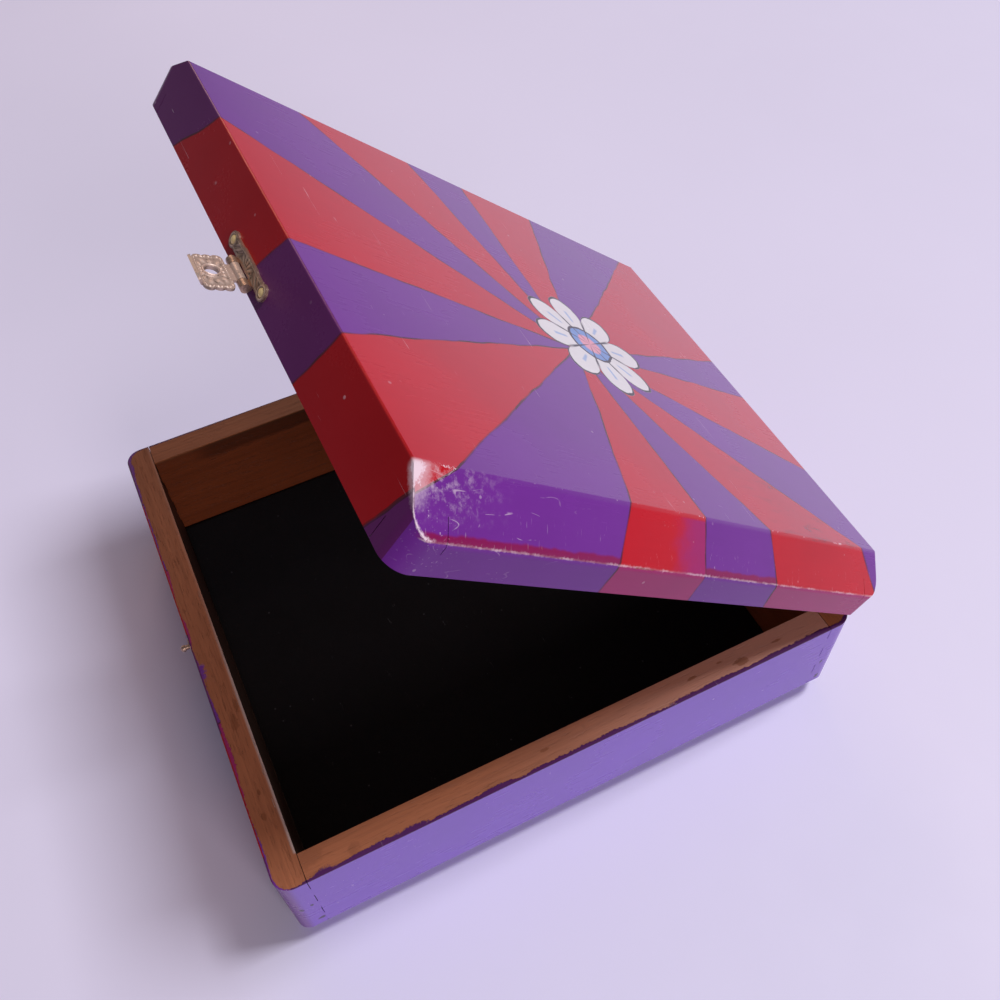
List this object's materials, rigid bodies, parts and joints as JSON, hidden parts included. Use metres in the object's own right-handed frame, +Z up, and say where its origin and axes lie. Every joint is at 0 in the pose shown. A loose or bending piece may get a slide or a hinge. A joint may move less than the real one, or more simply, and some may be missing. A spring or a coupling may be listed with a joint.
{
  "type": "cigar box",
  "caption": "Finger-jointed wooden box with bevelled sides, felt-lined floor, a lid on butt hinges and a front hasp that drops over a knob; holds cigars or keepsakes.",
  "frame": {"origin": "centre of the underside", "axes": "+Z up, X along the lid's hinge, front with the hasp towards -Y, hinge side towards +Y"},
  "size_m": [0.21, 0.2508, 0.2275],
  "materials": {
    "base_wood": "painted outside, bare inside",
    "lid_wood": "gloss painted outside, bare inside",
    "felt": "matte felt",
    "hinge_brass": "satin",
    "hasp_metal": "antique plated",
    "knob_brass": "polished"
  },
  "bodies": {
    "base": {"base_front_board": "base_wood", "base_back_board": "base_wood", "base_left_board": "base_wood", "base_right_board": "base_wood", "base_bottom_board": "base_wood", "floor_lining": "felt", "catch_knob": "knob_brass", "hinge_left_base_leaf": "hinge_brass", "hinge_right_base_leaf": "hinge_brass", "hinge_left_pin": "hinge_brass", "hinge_right_pin": "hinge_brass", "hinge_base_nails": "hinge_brass"},
    "lid": {"lid_front_rail": "lid_wood", "lid_back_rail": "lid_wood", "lid_left_rail": "lid_wood", "lid_right_rail": "lid_wood", "lid_top_board": "lid_wood", "hinge_left_lid_leaf": "hinge_brass", "hinge_right_lid_leaf": "hinge_brass", "hinge_lid_nails": "hinge_brass", "hasp_plate": "hasp_metal", "hasp_pin": "hasp_metal", "hasp_nails": "hasp_metal"},
    "hasp": {"hasp_leaf": "hasp_metal"}
  },
  "joints": [
    {"name": "lid_hinge", "type": "hinge", "parent": "base", "child": "lid", "pos_m": [0, 0.11815, 0.05665], "axis": [-1, 0, 0], "range_deg": [-41.4, 63.6]},
    {"name": "hasp_swing", "type": "hinge", "parent": "lid", "child": "hasp", "pos_m": [-0.0026, -0.05745, 0.21419], "axis": [-1, 0, 0], "range_deg": [-75, 95]}
  ]
}
